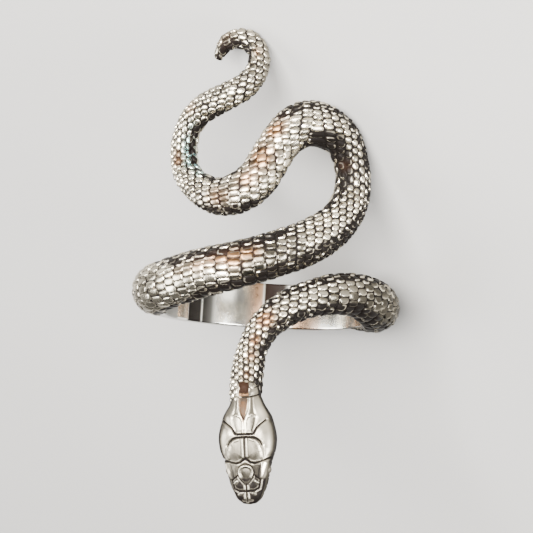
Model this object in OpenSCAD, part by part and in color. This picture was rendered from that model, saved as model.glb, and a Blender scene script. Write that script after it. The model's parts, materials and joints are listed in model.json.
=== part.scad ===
// Wrap-around snake ring: a scaled snake cast in one piece with a plain polished band.
// The finger runs along Y through the origin of the ring's own axes, the face looks to +Z
// and the tail climbs toward +Y. The casting is then turned to the way it lies on a table.

/* [Ring size] */
// Inner diameter of the band, mm
finger_d = 17.6; // [16:0.1:20]
// Width of the plain band, mm
band_w = 4.2; // [3.6:0.1:5]
// Thickness of the plain band, mm
band_t = 1.3; // [1:0.1:1.6]

/* [Scales] */
// Length of one scale along the body, mm
scale_l = 0.76; // [0.74:0.02:1.2]
// Height from groove to crown of a scale, mm
scale_h = 0.16; // [0.08:0.02:0.24]

/* [Head] */
// Length of the head from nape to snout, mm
head_l = 9.4; // [8:0.1:11]
// Eye diameter, mm
eye_d = 0.9; // [0.6:0.1:1.2]

/* [Hidden] */
$fn = 48;

finger_r = finger_d / 2;
// The band covers the back of the finger, its ends hidden in the two ends of the snake.
band_angle = 190;

// Columns of the path tables: degrees round the finger from the face, mm along the finger,
// width of the body, height of its centre above the finger as a share of half its width.
TURN = 0;
ALONG = 1;
WIDTH = 2;
LIFT = 3;
tail_path = [
    [-128, 0, 3, -0.2],
    [-112, 0, 3.9, 0.2],
    [-97, 0, 4.4, 0.48],
    [-82.5, 0, 4.55, 0.5],
    [-63.5, 0.2, 4.5, 0.5],
    [-48, 0.6, 4.45, 0.5],
    [-30.5, 1.2, 4.4, 0.5],
    [-13.5, 1.9, 4.2, 0.5],
    [2.5, 2.8, 4.15, 0.55],
    [21.5, 4.3, 4.05, 0.65],
    [34, 6, 3.7, 0.8],
    [41, 8.1, 3.45, 0.95],
    [41.5, 10.3, 3.25, 1.08],
    [38, 12.2, 3.25, 1.08],
    [30.5, 13.6, 3.5, 1.08],
    [18, 14.5, 3.9, 1.08],
    [9.5, 13.9, 3.95, 1.08],
    [2.5, 12.6, 3.65, 1.08],
    [-2.5, 10.8, 3.7, 1.08],
    [-7.5, 9.1, 3.7, 1.08],
    [-16, 7.9, 3.7, 1.08],
    [-26, 7.6, 3.35, 1.08],
    [-39, 8.6, 2.85, 1.1],
    [-49, 10.2, 2.6, 1.1],
    [-52, 12.3, 2.5, 1.1],
    [-49, 14.1, 2.45, 1.1],
    [-39.5, 15.5, 2.6, 1.1],
    [-26.5, 16.5, 2.55, 1.1],
    [-15.5, 17.6, 2.35, 1.1],
    [-10, 19.7, 2, 1.1],
    [-15.5, 21.5, 2, 1.1],
    [-27.5, 21.6, 1.8, 1.1],
    [-36, 20.2, 0.8, 1.3],
];
neck_path = [
    [128, -0.2, 3, -0.2],
    [112, -0.3, 3.9, 0.2],
    [97, -0.4, 4.4, 0.48],
    [82, -0.4, 4.5, 0.5],
    [66, -0.1, 4.2, 0.5],
    [50, 0.1, 3.85, 0.5],
    [35, -0.2, 3.65, 0.5],
    [21, -0.9, 3.35, 0.5],
    [9, -2, 3.2, 0.55],
    [0, -3.5, 2.9, 0.65],
    [-5.5, -5.4, 2.65, 0.8],
    [-7.7, -7.3, 2.65, 0.95],
    [-8.2, -9, 2.6, 1.1],
    [-7.9, -10.3, 2.4, 1.15],
];

// Columns of the head table: mm from the nape, half width, crown height and chin depth from
// the middle, squareness, then relief on the mid line, on the crown plates and at the mouth.
BACK = 0;
HALF = 1;
CROWN = 2;
CHIN = 3;
SQUARE = 4;
MID = 5;
PLATE = 6;
MOUTH = 7;
head_rows = [
    [-0.5, 0.7, 0.7, 0.7, 2, 0, 0, 0],
    [-0.1, 1.15, 1.15, 1.1, 2, 0, 0, 0],
    [0.3, 1.35, 1.4, 1.25, 2, 0.1, 0, 0],
    [0.9, 1.6, 1.45, 1.3, 2.1, 0.12, 0, 0],
    [1.4, 1.9, 1.5, 1.3, 2.2, 0.12, -0.04, 0],
    [1.9, 2.2, 1.55, 1.3, 2.3, 0.1, 0.02, -0.05],
    [2.4, 2.34, 1.6, 1.35, 2.4, 0, 0.05, -0.08],
    [2.9, 2.44, 1.65, 1.35, 2.5, 0, 0.05, -0.1],
    [3.3, 2.5, 1.68, 1.35, 2.5, -0.08, 0.02, -0.1],
    [3.55, 2.53, 1.68, 1.35, 2.5, -0.1, -0.08, -0.1],
    [3.8, 2.55, 1.68, 1.35, 2.5, -0.1, 0.05, -0.1],
    [4.3, 2.53, 1.68, 1.35, 2.5, -0.1, 0.06, -0.1],
    [4.9, 2.42, 1.65, 1.3, 2.5, -0.1, 0.06, -0.1],
    [5.4, 2.3, 1.6, 1.3, 2.5, -0.1, 0.05, -0.1],
    [5.65, 2.2, 1.57, 1.25, 2.5, -0.08, -0.08, -0.1],
    [5.9, 2.08, 1.55, 1.25, 2.5, 0.08, 0.02, -0.1],
    [6.3, 1.98, 1.5, 1.2, 2.5, 0.1, 0.05, -0.1],
    [6.8, 1.88, 1.42, 1.2, 2.5, 0.06, 0.04, -0.1],
    [7.1, 1.82, 1.37, 1.15, 2.5, -0.06, -0.06, -0.1],
    [7.4, 1.76, 1.3, 1.1, 2.4, -0.08, 0.05, -0.1],
    [7.9, 1.62, 1.2, 1.05, 2.4, -0.06, 0.05, -0.1],
    [8.2, 1.5, 1.12, 1, 2.3, -0.06, -0.06, -0.08],
    [8.6, 1.3, 1.02, 0.9, 2.2, -0.04, 0.04, -0.06],
    [9.1, 0.98, 0.84, 0.7, 2.1, 0, 0, -0.04],
    [9.4, 0.62, 0.6, 0.5, 2, 0, 0, 0],
];
head_rows_l = 9.55;
// Points round the head, those of the crown plates either side of the mid line, and the one
// that lies in the mouth.
head_around = 28;
plate_points = 3;
mouth_point = 8;
snout_tip = 0.15;
snout_h = 0.05;
eye_from_nape = 6.5;
eye_out = 1.62;
eye_up = 0.55;
// Where the nape stands, and how the head leans and turns there.
nape_x = -1.13;
nape_y = -9.5;
head_up = 1.45;
head_roll = -8;
head_yaw = 5;

// The snake lies this far clear of the band's inner cylinder, and the finger's room is cut
// this far to either side of the middle.
body_gap = 0.05;
reach = 30;
// Step along a path table used to find its direction.
nudge = 0.02;

// The ring lies on the bend of its tail, the hook and the rim of the band: rolled about the
// finger, tipped tail down, turned so the finger runs along X, then moved to stand on Z = 0.
// These hold for the sizes given at the top.
rest_roll = 45.03;
rest_tip = -41.91;
rest_yaw = -90;
rest_shift = [-6.987, 0.89, 8.919];

// Points round the body: two for each scale, the rest across the smooth belly.
half_scales = 14;
scale_points = 2 * half_scales + 1;
belly_points = 5;
around = scale_points + belly_points;

// Smooth curve through rows b and c of a table, with a before and d after them.
function curve(a, b, c, d, t) = 0.5 * (
    2 * b + (c - a) * t + (2 * a - 5 * b + 4 * c - d) * pow(t, 2) + (3 * b - a - 3 * c + d) * pow(t, 3)
);

// Row of a table at the fractional position u.
function row_at(table, u) = let (
    last = len(table) - 1,
    i = min(floor(u), last - 1)
) curve(table[max(i - 1, 0)], table[i], table[i + 1], table[min(i + 2, last)], u - i);

// Centre of the body in the ring's axes for one row.
function centre(row) = let (r = finger_r + row[LIFT] * row[WIDTH] / 2)
    [r * sin(row[TURN]), row[ALONG], r * cos(row[TURN])];

// Pairs of length along the body and position in the table, this many to a row.
samples = 12;
function lengths(table) = let (
    n = (len(table) - 1) * samples,
    points = [for (i = [0:n]) centre(row_at(table, i / samples))]
) [for (
    i = 0, s = 0;
    i <= n;
    s = s + (i < n ? norm(points[i + 1] - points[i]) : 0), i = i + 1
) [s, i / samples]];

function unit(v) = v / norm(v);

// Angle taken by half a scale, against the width of the body.
half_scale_angles = [[2.1, 11.2], [2.7, 10.4], [4.2, 8.2]];

// Angle round the body of point j: the scales first, then the belly.
function point_angle(j, step) = j < scale_points
    ? (j - half_scales) * step
    : half_scales * step + (360 - 2 * half_scales * step) * (j - scale_points + 1) / (belly_points + 1);

// Crowns and grooves alternate like a chequerboard, the belly is smooth. Below this width
// of body the relief grows shallower with it.
full_relief_w = 2;
function relief(i, j) = j >= scale_points ? 0 : ((i + j) % 2 == 0 ? scale_h / 2 : -scale_h / 2);

// Points round the body at position u of a path table, in the ring's axes.
function section(table, u, i) = let (
    row = row_at(table, u),
    c = centre(row),
    t = unit(centre(row_at(table, u + nudge)) - centre(row_at(table, u - nudge))),
    radial = [sin(row[TURN]), 0, cos(row[TURN])],
    up = unit(radial - (radial * t) * t),
    side = cross(up, t),
    r = (row[WIDTH] - scale_h) / 2,
    step = lookup(row[WIDTH], half_scale_angles)
) [for (j = [0:around - 1]) let (
    a = point_angle(j, step),
    rj = r + min(1, row[WIDTH] / full_relief_w) * relief(i, j)
) c + rj * (cos(a) * up + sin(a) * side)];

// Two triangles of one cell. The dividing line joins its two low corners.
function cell(a, b, c, d, a_is_high) = a_is_high
    ? [[a, d, b], [b, d, c]]
    : [[a, c, b], [a, d, c]];

// Triangles between the rings of a tube of n points each, closed with a point at either end.
function tube_faces(rings, n) = let (first = (rings + 1) * n) [
    for (i = [0:rings - 1], j = [0:n - 1]) let (
        jn = (j + 1) % n,
        pair = cell(i * n + j, (i + 1) * n + j, (i + 1) * n + jn, i * n + jn, (i + j) % 2 == 0)
    ) each pair,
    for (j = [0:n - 1]) [first, (j + 1) % n, j],
    for (j = [0:n - 1]) [first + 1, rings * n + j, rings * n + (j + 1) % n]
];

module scaled_body(table) {
    by_length = lengths(table);
    total = by_length[len(by_length) - 1][0];
    last = len(table) - 1;
    rings = floor(total / scale_l);
    points = [
        for (i = [0:rings]) let (u = lookup(i * total / rings, by_length))
            each section(table, max(nudge, min(last - nudge, u)), i),
        centre(table[0]),
        centre(table[last])
    ];
    polyhedron(points, tube_faces(rings, around), convexity = 10);
}

// Raised plates and sunk seams on the crown, and the line of the mouth.
function head_relief(row, j) = let (k = min(j, head_around - j))
    k == 0 ? row[MID]
    : k <= plate_points ? row[PLATE]
    : k == mouth_point ? row[MOUTH]
    : 0;

// Place along the head of a distance from the nape, for the head length asked for.
function forward(from_nape) = -from_nape * head_l / head_rows_l;

// Point j of one section of the head, going round from the crown.
function head_point(row, j) = let (
    a = 360 * j / head_around,
    c = cos(a),
    s = sin(a),
    grow = 1 + head_relief(row, j) / row[HALF],
    across = sign(s) * pow(abs(s), 2 / row[SQUARE]),
    high = sign(c) * pow(abs(c), 2 / row[SQUARE])
) [across * row[HALF] * grow, forward(row[BACK]), high * (c > 0 ? row[CROWN] : row[CHIN]) * grow];

module head() {
    rings = len(head_rows) - 1;
    points = [
        for (row = head_rows, j = [0:head_around - 1]) head_point(row, j),
        [0, forward(head_rows[0][BACK]), 0],
        [0, forward(head_rows[rings][BACK] + snout_tip), snout_h]
    ];
    polyhedron(points, tube_faces(rings, head_around), convexity = 6);
    for (side = [-1, 1])
        translate([side * eye_out, forward(eye_from_nape), eye_up])
            sphere(d = eye_d);
}

module placed_head() {
    translate([nape_x, nape_y, finger_r + head_up])
        rotate([0, head_roll, head_yaw])
            head();
}

module band() {
    rotate([90, 0, 0])
        rotate_extrude(angle = band_angle, start = 270 - band_angle / 2)
            translate([finger_r, -band_w / 2])
                square([band_t, band_w]);
}

// Room for the finger, as wide as the band's inside plus a gap on every side.
module finger_room(gap) {
    rotate([90, 0, 0])
        cylinder(r = finger_r + gap, h = 2 * reach, center = true);
}

module ring_as_worn() {
    difference() {
        scaled_body(tail_path);
        finger_room(body_gap);
    }
    difference() {
        union() {
            scaled_body(neck_path);
            placed_head();
        }
        finger_room(body_gap);
    }
    band();
}

module snake_ring() {
    color("silver")
        translate(rest_shift)
            rotate([0, 0, rest_yaw])
                rotate([rest_tip, 0, 0])
                    rotate([0, rest_roll, 0])
                        ring_as_worn();
}

snake_ring();
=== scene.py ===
import json
import math

import bpy
import numpy as np
from mathutils import Matrix, Vector


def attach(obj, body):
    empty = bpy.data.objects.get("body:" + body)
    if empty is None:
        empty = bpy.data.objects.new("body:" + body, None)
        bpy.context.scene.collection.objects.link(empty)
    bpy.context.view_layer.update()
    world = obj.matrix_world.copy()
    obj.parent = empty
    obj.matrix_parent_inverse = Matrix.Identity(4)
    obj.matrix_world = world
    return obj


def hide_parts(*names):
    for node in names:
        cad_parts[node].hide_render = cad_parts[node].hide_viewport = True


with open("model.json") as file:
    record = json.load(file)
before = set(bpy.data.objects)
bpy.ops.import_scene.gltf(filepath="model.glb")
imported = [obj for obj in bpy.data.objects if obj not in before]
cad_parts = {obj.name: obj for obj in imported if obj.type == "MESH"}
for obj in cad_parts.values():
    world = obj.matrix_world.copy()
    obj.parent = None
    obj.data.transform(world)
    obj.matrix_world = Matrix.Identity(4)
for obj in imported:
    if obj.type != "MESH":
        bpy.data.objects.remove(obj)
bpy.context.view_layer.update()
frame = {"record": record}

bl_info = {
    "name": "Snake ring",
    "version": (1, 0, 0),
    "blender": (4, 5, 0),
    "location": "View3D > Sidebar > Snake ring",
    "description": "Builds a wrap-around snake ring in oxidised cast silver",
    "category": "Add Mesh",
}

RING_NODE = "snake_ring"
BODY = "root"
FINGER_BORE = frame["record"]["mounts"][0]["dims"]
MM = 0.001
# Fields on each piece: wear and tone, both carrying painted light and shade, and the copper and blue
# tints.
FIELDS = ("worn_and_lit", "tone", "copper", "blue")

# The ring's own axes, in mm: X across the finger, Y along it toward the tail, Z toward the
# face. It is rolled, tipped, turned and moved to where it lies, as the CAD part is.
REST_ROLL = math.radians(45.03)
REST_TIP = math.radians(-41.91)
REST_YAW = math.radians(-90)
REST_SHIFT = (-6.987, 0.89, 8.919)

# Columns of the path tables: degrees round the finger from the face, mm along the finger,
# width of the body, height of its centre above the finger as a share of half its width.
TURN, ALONG, WIDTH, LIFT = range(4)
TAIL_PATH = (
    (-128, 0, 3, -0.2),
    (-112, 0, 3.9, 0.2),
    (-97, 0, 4.4, 0.48),
    (-82.5, 0, 4.55, 0.5),
    (-63.5, 0.2, 4.5, 0.5),
    (-48, 0.6, 4.45, 0.5),
    (-30.5, 1.2, 4.4, 0.5),
    (-13.5, 1.9, 4.2, 0.5),
    (2.5, 2.8, 4.15, 0.55),
    (21.5, 4.3, 4.05, 0.65),
    (34, 6, 3.7, 0.8),
    (41, 8.1, 3.45, 0.95),
    (41.5, 10.3, 3.25, 1.08),
    (38, 12.2, 3.25, 1.08),
    (30.5, 13.68, 3.65, 1.08),
    (18, 14.4, 4.1, 1.08),
    (9.5, 13.95, 4.1, 1.08),
    (2.5, 12.6, 3.65, 1.08),
    (-2.5, 10.8, 3.7, 1.08),
    (-7.5, 9.1, 3.7, 1.08),
    (-16, 7.9, 3.7, 1.08),
    (-26, 7.6, 3.35, 1.08),
    (-39, 8.6, 2.85, 1.1),
    (-49, 10.2, 2.6, 1.1),
    (-52, 12.3, 2.5, 1.1),
    (-49, 14.1, 2.45, 1.1),
    (-39.5, 15.5, 2.6, 1.1),
    (-26.5, 16.5, 2.55, 1.1),
    (-15.5, 17.6, 2.35, 1.1),
    (-10, 19.7, 2, 1.1),
    (-15.5, 21.5, 2, 1.1),
    (-27.5, 21.6, 1.8, 1.1),
    (-36, 20.2, 0.8, 1.3),
)
NECK_PATH = (
    (128, -0.2, 3, -0.2),
    (112, -0.3, 3.9, 0.2),
    (97, -0.4, 4.4, 0.48),
    (82, -0.4, 4.5, 0.5),
    (66, -0.1, 4.2, 0.5),
    (50, 0.1, 3.85, 0.5),
    (35, -0.2, 3.65, 0.5),
    (21, -0.9, 3.35, 0.5),
    (9, -2, 3.2, 0.55),
    (0, -3.5, 2.9, 0.65),
    (-5.3, -5.4, 2.75, 0.78),
    (-6.9, -7.3, 2.95, 0.8),
    (-7.2, -9, 2.95, 0.9),
    (-7, -10.3, 2.7, 0.95),
)
# Samples between two rows of a path, rows kept clear of its ends, mm over which it is smoothed,
# reach of that bell and of its fade at the ends in such widths, and mm kept to the finger.
PATH_SAMPLES = 12
NUDGE = 0.02
SMOOTHING = 0.75
BELL_REACH = 3
END_FADE = 5
BODY_GAP = 0.05

# Columns of the scale tables: row of the path, distance between two stacks of scales and
# between two scales of a stack in mm, turn of the pattern against the body in degrees, and
# squareness of a scale's outline. The stacks keep one direction while the body bends. Last
# comes the share of a scale's half size over which its edge falls into the groove.
ROW, ACROSS, DOWN, PATTERN, SQUARENESS, GROOVE = range(6)
TAIL_SCALES = (
    (0, 1.2, 0.75, 6, 3.2, 0.26),
    (2.5, 1.6, 0.78, 6, 3.2, 0.26),
    (4, 1.45, 0.76, 6, 3.2, 0.26),
    (5, 1, 0.69, 7, 3.4, 0.27),
    (5.8, 0.86, 0.68, 8, 3.6, 0.25),
    (6.6, 0.98, 0.72, 8, 3.4, 0.25),
    (7.3, 0.98, 0.74, 8, 3.4, 0.25),
    (7.9, 0.84, 0.71, 10, 3.4, 0.26),
    (8.6, 0.72, 0.63, 17, 3, 0.36),
    (10, 0.63, 0.6, 43, 2.5, 0.42),
    (11, 0.61, 0.62, 70, 2.4, 0.46),
    (12.5, 0.62, 0.74, 101, 2.3, 0.5),
    (13.5, 0.67, 0.68, 120, 2.4, 0.5),
    (14.5, 0.76, 0.57, 147, 2.6, 0.45),
    (15.5, 0.8, 0.55, 195, 2.8, 0.38),
    (16.5, 0.78, 0.6, 214, 3.3, 0.28),
    (18, 0.79, 0.67, 231, 3.4, 0.24),
    (19.5, 0.8, 0.62, 208, 3.2, 0.3),
    (21, 0.83, 0.57, 168, 3, 0.34),
    (22, 0.68, 0.6, 138, 2.8, 0.38),
    (23, 0.52, 0.66, 107, 2.7, 0.4),
    (24.5, 0.48, 0.66, 76, 2.6, 0.4),
    (26, 0.6, 0.62, 40, 2.6, 0.38),
    (28, 0.72, 0.62, 45, 2.7, 0.34),
    (30, 0.74, 0.7, 140, 2.7, 0.32),
    (32, 0.8, 0.9, 230, 2.7, 0.3),
)
NECK_SCALES = (
    (0, 0.92, 0.74, 158, 3.2, 0.28),
    (5, 0.92, 0.74, 171, 3.1, 0.28),
    (6.2, 0.88, 0.7, 187, 2.9, 0.32),
    (7.2, 0.8, 0.66, 201, 2.8, 0.36),
    (8.5, 0.7, 0.62, 220, 2.6, 0.42),
    (10, 0.56, 0.62, 247, 2.4, 0.5),
    (12, 0.52, 0.62, 266, 2.4, 0.5),
    (13, 0.52, 0.62, 269, 2.4, 0.5),
)
# Columns of the wear tables, which paint light and shade along with the wear: row of the path,
# the degrees round the body between which the crowns are rubbed bright and painted as lit, and
# the painted light that sets how bright they are. Beyond them the crowns keep their oxide with
# painted shade, and only the lower lips are worn and painted with glints.
WORN_AND_LIT_FROM, WORN_AND_LIT_TO, PAINTED_LIGHT = 1, 2, 3
TAIL_WEAR_AND_LIGHT = (
    (0, -80, 60, 1.1),
    (3.5, -82, 55, 1.15),
    (4.4, -82, 38, 1.15),
    (4.9, -77, 24, 1.15),
    (5.4, -66, 15, 1.15),
    (5.9, -49, 15, 1.1),
    (6.5, -44, 17, 1.05),
    (7, -41, 22, 0.75),
    (7.4, -39, 24, 0.15),
    (7.9, -30, 24, 0),
    (8.4, -25, 34, 0.35),
    (8.8, -14, 52, 1),
    (9.3, -8, 60, 1.1),
    (10.1, -2, 60, 1.15),
    (10.7, -6, 58, 1.1),
    (11.2, 4, 58, 0.7),
    (11.7, 2, 49, 0.55),
    (12.3, 0, 46, 0.6),
    (13, -12, 37, 0.85),
    (13.6, -10, 31, 1),
    (14.1, -18, 20, 1),
    (14.6, -28, 20, 1),
    (15.2, -24, 23, 1),
    (15.7, -33, 32, 0.7),
    (16.2, -26, 44, 0.9),
    (16.7, -50, 70, 1),
    (17.5, -90, 80, 1),
    (18.8, -80, 75, 1),
    (19.5, -44, 48, 0.9),
    (20.2, -43, 37, 0.85),
    (20.8, -40, 30, 0.9),
    (21.4, -46, 45, 1.05),
    (22.2, -63, 80, 1.1),
    (23, -70, 90, 1),
    (24.4, -70, 90, 0.95),
    (25.4, -59, 90, 0.9),
    (26.3, -64, 80, 0.85),
    (27, -85, 60, 0.7),
    (28.5, -95, 60, 0.5),
    (29.5, -95, 26, 0.6),
    (30.4, -95, 18, 0.5),
    (31, -95, 12, 0.5),
    (32, -95, 12, 0.7),
)
# The neck's table likewise paints its lit band and its shade along with the wear.
NECK_WEAR_AND_LIGHT = (
    (0, -40, 70, 0.1),
    (3.8, -40, 50, 0.05),
    (4.9, -34, 32, 0.15),
    (5.8, -34, 25, 0.3),
    (6.9, -31, 20, 0.65),
    (8.2, -32, 18, 0.95),
    (8.8, -40, 17, 0.95),
    (9.2, -70, 27, 1),
    (9.8, -90, 36, 1.05),
    (10.7, -90, 44, 1.05),
    (11.7, -90, 38, 1.05),
    (13, -90, 36, 1.05),
)
# Degrees over which a worn and lit zone fades out, and wear beyond it: of a crown, of its lower lip
# and of a lip that faces any way, the two lips worn and painted with a glint.
WORN_AND_LIT_EDGE = 6
OXIDE_WEAR = 0.03
LIP_WEAR_AND_GLINT = 1.3
SIDE_LIP_WEAR_AND_GLINT = 0.8
# Where a lip lies between a scale's middle and its edge, the part round the middle that it keeps
# clear of, how far round it reaches as a share of the way it faces, degrees it may turn, and its
# middle share of wear and painted glint with the spread of that.
LIP_BAND = (0.5, 0.7, 0.88, 1)
LIP_CLEAR = 0.1
LOWER_LIP_REACH = (0.1, 0.6)
SIDE_LIP_REACH = (0.3, 0.8)
LIP_SPREAD = 75
LIP_SHARE = 0.62
LIP_SHARE_SPREAD = 0.55
# Tone from the upper to the lower end of a scale, painted shade that darkens the upper end and
# lightens the lower one, least share of the tone in rows painted dull, and what a row's painted
# light adds to it.
PAINTED_SHADE_ACROSS = 0.75
LEAST_TONE = 0.6
PAINTED_LIGHT_TONE = 2.6
# Degrees round the body between which the side toward the finger is rubbed bright.
BORE_ANGLES = (105, 125)
BORE_WEAR = 0.8
# Share of the sine in the way round the body, width of a scale against its stack, power of its
# upper and lower end for each unit of squareness over 2, and where its edge meets the groove.
PATTERN_FLATNESS = 0.3
STACK_FILL = 1.03
END_SQUARENESS = (1.5, 0.6)
SCALE_EDGE = 1.05
# Height of a crown and its spread, spread of a scale's size, heights over which wear and painted
# light begin, width of body in mm from which scales are full depth, and the half scales past the
# last one over which they fade into the belly, with its height.
CROWN_LEVEL = 0.84
CROWN_SPREAD = 0.08
SIZE_SPREAD = 0.6
WORN_AND_LIT_HEIGHTS = (0.12, 0.5)
FULL_DEPTH_WIDTH = 2
BELLY_EDGE = (-0.6, 0.4)
BELLY_HEIGHT = 0.5
# What a repeatable value of a scale is used for.
SHIFT_X, SHIFT_Y, SIZE, TILT_X, TILT_Y, LEVEL, TONE = range(1, 8)
TURN_LOWER, SHARE_LOWER, TURN_SIDE, SHARE_SIDE = range(8, 12)
# Phase of such a value for each step across, step up and use, and size of the sine it is cut from.
VALUE_PHASES = (127.1, 311.7, 74.7)
VALUE_SINE = 43758.5453
# Half the angle that a scale takes, in degrees, against the width of the body, half scales to
# either side of the body's crown, rings and points for each scale, its usual length in mm, and
# points over the belly.
HALF_SCALE_WIDTHS = (2.1, 2.7, 4.2)
HALF_SCALE_ANGLES = (11.2, 10.4, 8.2)
HALF_SCALES = 14
POINTS_PER_SCALE = 12
SCALE_PITCH = 0.7
BELLY_POINTS = 16
TAIL_PARTS = 3
NECK_PARTS = 2
# How a part ends under its neighbour: size of the last ring, mm it moves along, steps of that to
# its tip, and mm from the finger to the tip.
TUCK_SIZE = 0.93
TUCK_STEP = 0.07
TIP_STEPS = 3
TIP_GAP = 0.4

# Patches on the scales: row of the path, degrees round the body, radius in mm and strength.
# Copper ones are warm and blue ones cold.
TAIL_COPPER = (
    (5.5, 4, 0.8, 0.3),
    (6, 10, 0.8, 0.7),
    (6.5, 16, 0.7, 1),
    (7, 14, 0.8, 1.5),
    (7.5, 14, 0.7, 1),
    (6.9, -8, 0.8, 0.3),
    (12.6, 66, 0.7, 0.7),
    (16.8, -36, 0.8, 1.6),
    (18.1, -20, 1.1, 1.3),
    (19.3, -10, 0.9, 0.9),
    (20.6, 8, 0.9, 0.8),
    (23.2, -22, 0.45, 1.8),
    (23.6, -24, 0.4, 1.1),
    (25.8, 10, 0.6, 0.5),
    (29.3, 0, 0.5, 0.6),
    (31, 0, 0.8, 0.4),
)
TAIL_BLUE = (
    (22, -64, 0.7, 0.8),
    (22.8, -84, 0.9, 1.2),
    (23.6, -84, 0.9, 1.1),
    (24.4, -78, 0.8, 0.8),
    (25.3, -60, 0.6, 0.5),
)
NECK_COPPER = (
    (8.8, -16, 0.7, 1.9),
    (9.7, 0, 0.5, 1.3),
    (10.4, 10, 0.5, 0.9),
    (11.3, 6, 0.4, 0.8),
    (12.2, 4, 0.5, 1),
)
# The head's plates are worn bright and painted as lit where they face this direction of the ring's
# axes, and keep their oxide with painted shade where they turn away from it or point up or down
# the finger, over these two ranges.
WORN_AND_LIT_SIDE = (0.05, 0, 1)
FACING_RANGE = (0.2, 0.72)
ALONG_OFFSET = 0.06
ALONG_RANGE = (0.8, 0.5)

# Plain band: degrees of its arc, radius of its corners in mm, points of a corner, rings, mm past
# the finger over which its inside ends, and wear and tone of its clean silver.
BAND_ARC = 190
BAND_FILLET = 0.16
BAND_CORNER_POINTS = 9
BAND_RINGS = 241
BAND_INSIDE = (0.3, 0.1)
BAND_WEAR = 1.1
BAND_TONE = 0.6
# Columns of its table: degrees from the back of the finger, and inside it the wear that paints
# dark and bright reflections on the bare silver, and warm tarnish.
BAND_DEGREES, BAND_PAINTED_REFLECTION, BAND_COPPER = range(3)
# The dark and bright bands that this table sets inside the band are painted reflections; its copper
# is warm tarnish.
BAND_TARNISH_AND_REFLECTION = (
    (-95, 0.6, 0.5),
    (-78, 0.7, 0.5),
    (-70, 1.1, 0.1),
    (-47, 1.1, 0),
    (-38, 1.1, 0.15),
    (-34, 0.8, 0.6),
    (-27, 0.65, 0.8),
    (-19, 0.55, 0.9),
    (-10, 0.1, 0.4),
    (0, 0.1, 0.6),
    (2, 0.5, 0.9),
    (6, 0.55, 0.9),
    (9, 0.65, 0.7),
    (14, 1.1, 0),
    (22, 1.1, 0),
    (29, 0.5, 0),
    (35, 0.2, 0),
    (41, 0.14, 0),
    (42, 0.4, 0),
    (43, 0.14, 0),
    (53, 0.12, 0),
    (56, 1.1, 0),
    (62, 1.1, 0),
    (66, 0.3, 0),
    (95, 0.3, 0),
)

# Columns of the head table: mm from the nape, half width, crown height and chin depth from
# the middle, and squareness.
BACK, HALF, CROWN, CHIN, SQUARE = range(5)
HEAD_ROWS = (
    (-1.3, 0.8, 0.9, 0.8, 2),
    (-1.05, 1.12, 1.25, 1, 2),
    (-0.8, 1.2, 1.38, 1.05, 2),
    (-0.3, 1.26, 1.4, 1.15, 2),
    (0.3, 1.38, 1.4, 1.25, 2),
    (0.9, 1.6, 1.45, 1.3, 2.1),
    (1.4, 1.9, 1.5, 1.3, 2.2),
    (1.9, 2.2, 1.55, 1.3, 2.3),
    (2.4, 2.34, 1.6, 1.35, 2.4),
    (2.9, 2.44, 1.65, 1.35, 2.5),
    (3.8, 2.55, 1.68, 1.35, 2.5),
    (4.9, 2.42, 1.65, 1.3, 2.5),
    (5.65, 2.2, 1.57, 1.25, 2.5),
    (6.3, 1.98, 1.5, 1.2, 2.5),
    (7.1, 1.82, 1.37, 1.15, 2.5),
    (7.9, 1.62, 1.2, 1.05, 2.4),
    (8.6, 1.3, 1.02, 0.9, 2.2),
    (9.1, 0.98, 0.84, 0.7, 2.1),
    (9.4, 0.62, 0.6, 0.5, 2),
)
# The rows, for a head of 9.55 mm, are drawn in to its length, and its tip lies past them, by mm
# along and up. The relief is full at over HEAD_CORE mm from the head's axis.
HEAD_STRETCH = 9.4 / 9.55
SNOUT_TIP = (0.1, 0.05)
HEAD_CORE = 0.2
HEAD_RINGS = 290
HEAD_AROUND = 300
# Place of the nape across and along the finger and mm above it, and the turns of the head.
NAPE = (-1.13, -9.5)
HEAD_UP = 1.45
HEAD_ROLL = math.radians(-8)
HEAD_YAW = math.radians(5)
# Eyes and nostrils: mm out from the middle, from the nape and up, with the eye's rings, points
# of a ring and wear.
EYE = (1.55, 6.5, 0.2)
NOSTRIL = (0.78, 8.85, 0.38)
EYE_DIAMETER = 0.85
EYE_RINGS = 22
EYE_AROUND = 44
EYE_WEAR = 0.3
# Grooves of the head: depth in mm, width in the unit that it is measured in, and darkness. The
# mouth lies at an angle from the crown and starts between two distances from the nape. The
# lip's seams slant, between limits in degrees. A socket lies a gap outside its eye.
GROOVE_DEPTH, GROOVE_WIDTH, GROOVE_DARK = range(3)
MOUTH = (0.12, 3.2, 1)
LIP_SEAM = (0.06, 0.05, 0.8)
SOCKET = (0.09, 0.07, 1)
PIT = (0.14, 0.14, 1)
MOUTH_ANGLE = 103
MOUTH_START = (2.2, 3)
LIP_SEAMS = (5.1, 5.8, 6.5, 7.2, 7.9, 8.5)
LIP_SLANT = 0.006
LIP_LIMITS = (74, 80, 113, 121)
SOCKET_GAP = 0.06

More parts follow.
